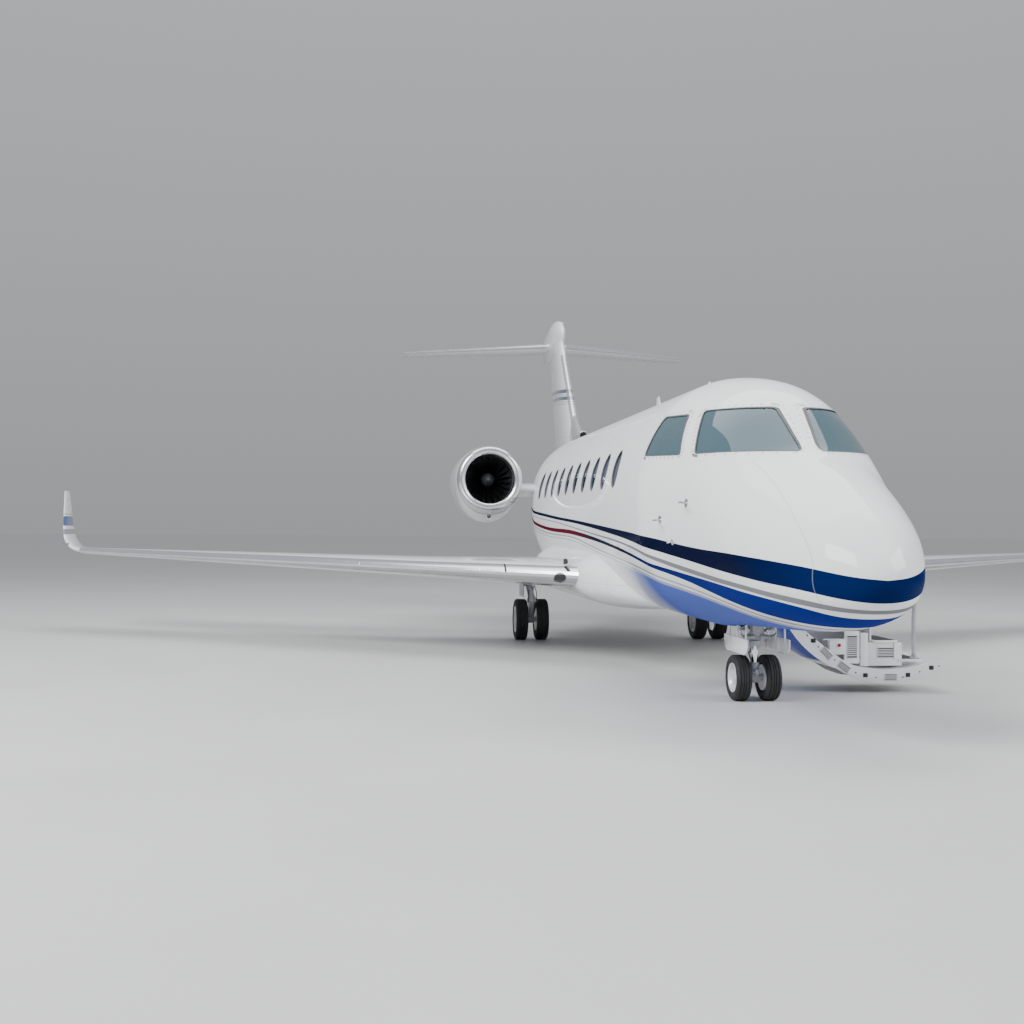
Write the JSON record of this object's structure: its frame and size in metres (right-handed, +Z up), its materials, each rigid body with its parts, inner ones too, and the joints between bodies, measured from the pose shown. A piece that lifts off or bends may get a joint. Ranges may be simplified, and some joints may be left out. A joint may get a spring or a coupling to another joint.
{
  "type": "twin-engine business jet",
  "caption": "Business jet with rear engines, a T-tail, winglets, an airstair door and tricycle gear, parked with the stair down.",
  "frame": {"origin": "on the ground, under the middle of the overall length and span", "axes": "nose points to -Y, port wing to +X, +Z up"},
  "size_m": [19.1986, 20.37, 6.5],
  "materials": {
    "white_paint": "gloss",
    "cockpit_glass": "gloss",
    "cabin_glass": "gloss",
    "interior_trim": "satin",
    "seat_leather": "satin",
    "panel_plastic": "matte",
    "dark_metal": "satin",
    "fan_metal": "satin",
    "gear_metal": "satin",
    "tyre_rubber": "matte",
    "polished_metal": "polished"
  },
  "bodies": {
    "root": {"radome": "white_paint", "cockpit_section": "white_paint", "cabin_section": "white_paint", "aft_section": "white_paint", "tail_cone": "white_paint", "wing_body_fairing": "white_paint", "wing_right": "white_paint", "wing_left": "white_paint", "nacelle_right": "white_paint", "nacelle_left": "white_paint", "pylon_right": "white_paint", "pylon_left": "white_paint", "fin": "white_paint", "tailplane": "white_paint", "nose_gear_door_right": "white_paint", "nose_gear_door_left": "white_paint", "windshield_right": "cockpit_glass", "windshield_left": "cockpit_glass", "side_window_right": "cockpit_glass", "side_window_left": "cockpit_glass", "cabin_windows_right": "cabin_glass", "cabin_windows_left": "cabin_glass", "cabin_floor": "interior_trim", "cockpit_partition": "interior_trim", "aft_partition": "interior_trim", "galley_cabinet": "interior_trim", "nose_gear_bay": "interior_trim", "cabin_seats_right": "seat_leather", "cabin_seats_left": "seat_leather", "pilot_seat_right": "seat_leather", "pilot_seat_left": "seat_leather", "instrument_panel": "panel_plastic", "engine_core_right": "dark_metal", "engine_core_left": "dark_metal", "nose_gear_leg": "gear_metal", "main_gear_leg_right": "gear_metal", "main_gear_leg_left": "gear_metal"},
    "airstair_door": {"airstair_door": "white_paint", "stair_handrail": "polished_metal"},
    "nose_gear_fork": {"nose_gear_fork": "gear_metal"},
    "nose_wheels": {"nose_wheels": "tyre_rubber"},
    "rudder": {"rudder": "white_paint"},
    "main_wheels_right": {"main_wheels_right": "tyre_rubber"},
    "fan_right": {"fan_right": "fan_metal"},
    "flap_inboard_right": {"flap_inboard_right": "white_paint"},
    "flap_outboard_right": {"flap_outboard_right": "white_paint"},
    "aileron_right": {"aileron_right": "white_paint"},
    "spoiler_right": {"spoiler_right": "white_paint"},
    "elevator_right": {"elevator_right": "white_paint"},
    "main_wheels_left": {"main_wheels_left": "tyre_rubber"},
    "fan_left": {"fan_left": "fan_metal"},
    "flap_inboard_left": {"flap_inboard_left": "white_paint"},
    "flap_outboard_left": {"flap_outboard_left": "white_paint"},
    "aileron_left": {"aileron_left": "white_paint"},
    "spoiler_left": {"spoiler_left": "white_paint"},
    "elevator_left": {"elevator_left": "white_paint"}
  },
  "joints": [
    {"name": "door_fold", "type": "hinge", "parent": "root", "child": "airstair_door", "pos_m": [0.49114, -6.285, 0.85793], "axis": [0, -1, 0], "range_deg": [0, 88]},
    {"name": "nose_steer", "type": "hinge", "parent": "root", "child": "nose_gear_fork", "pos_m": [0, -6.765, 0.24692], "axis": [0, 0, 1], "range_deg": [-60, 60]},
    {"name": "nose_wheel_roll", "type": "hinge", "parent": "nose_gear_fork", "child": "nose_wheels", "pos_m": [0, -6.725, 0.24692], "axis": [1, 0, 0], "continuous": true},
    {"name": "rudder_swing", "type": "hinge", "parent": "root", "child": "rudder", "pos_m": [0, 7.10887, 4.05], "axis": [0, 0.5065, 0.8622], "range_deg": [-25, 25]},
    {"name": "main_wheel_roll_right", "type": "hinge", "parent": "root", "child": "main_wheels_right", "pos_m": [-1.5, 0.455, 0.33581], "axis": [1, 0, 0], "continuous": true},
    {"name": "fan_spin_right", "type": "hinge", "parent": "root", "child": "fan_right", "pos_m": [-2, 2.835, 2.73], "axis": [0, 1, 0], "continuous": true},
    {"name": "flap_outboard_right_drop", "type": "hinge", "parent": "root", "child": "flap_outboard_right", "pos_m": [-3.56, 0.44639, 1.26397], "axis": [-0.9176, 0.3968, 0.0227], "range_deg": [0, 35]},
    {"name": "flap_inboard_right_drop", "type": "hinge", "parent": "root", "child": "flap_inboard_right", "pos_m": [-2.05, 0.05112, 1.22625], "axis": [-0.9718, 0.2347, 0.0243], "range_deg": [0, 35]},
    {"name": "aileron_right_swing", "type": "hinge", "parent": "root", "child": "aileron_right", "pos_m": [-6.5, 1.71772, 1.33681], "axis": [-0.9176, 0.3968, 0.0227], "range_deg": [-20, 20]},
    {"name": "spoiler_right_rise", "type": "hinge", "parent": "root", "child": "spoiler_right", "pos_m": [-3.75, 0.11665, 1.36751], "axis": [0.901, -0.4336, -0.011], "range_deg": [0, 50]},
    {"name": "elevator_right_swing", "type": "hinge", "parent": "root", "child": "elevator_right", "pos_m": [-0.36, 8.94138, 5.95], "axis": [-0.9515, 0.3076, 0], "range_deg": [-20, 20]},
    {"name": "main_wheel_roll_left", "type": "hinge", "parent": "root", "child": "main_wheels_left", "pos_m": [1.5, 0.455, 0.33581], "axis": [1, 0, 0], "continuous": true},
    {"name": "fan_spin_left", "type": "hinge", "parent": "root", "child": "fan_left", "pos_m": [2, 2.835, 2.73], "axis": [0, 1, 0], "continuous": true},
    {"name": "flap_outboard_left_drop", "type": "hinge", "parent": "root", "child": "flap_outboard_left", "pos_m": [3.56, 0.44639, 1.26397], "axis": [-0.9176, -0.3968, -0.0227], "range_deg": [0, 35]},
    {"name": "flap_inboard_left_drop", "type": "hinge", "parent": "root", "child": "flap_inboard_left", "pos_m": [2.05, 0.05112, 1.22625], "axis": [-0.9718, -0.2347, -0.0243], "range_deg": [0, 35]},
    {"name": "aileron_left_swing", "type": "hinge", "parent": "root", "child": "aileron_left", "pos_m": [6.5, 1.71772, 1.33681], "axis": [-0.9176, -0.3968, -0.0227], "range_deg": [-20, 20]},
    {"name": "spoiler_left_rise", "type": "hinge", "parent": "root", "child": "spoiler_left", "pos_m": [3.75, 0.11665, 1.36751], "axis": [0.901, 0.4336, 0.011], "range_deg": [0, 50]},
    {"name": "elevator_left_swing", "type": "hinge", "parent": "root", "child": "elevator_left", "pos_m": [0.36, 8.94138, 5.95], "axis": [-0.9515, -0.3076, 0], "range_deg": [-20, 20]}
  ],
  "couplings": [
    {"joint": "flap_outboard_left_drop", "follows": "flap_outboard_right_drop", "ratio": 1},
    {"joint": "flap_inboard_right_drop", "follows": "flap_outboard_right_drop", "ratio": 1},
    {"joint": "flap_inboard_left_drop", "follows": "flap_outboard_right_drop", "ratio": 1},
    {"joint": "aileron_left_swing", "follows": "aileron_right_swing", "ratio": -1},
    {"joint": "elevator_left_swing", "follows": "elevator_right_swing", "ratio": 1}
  ]
}
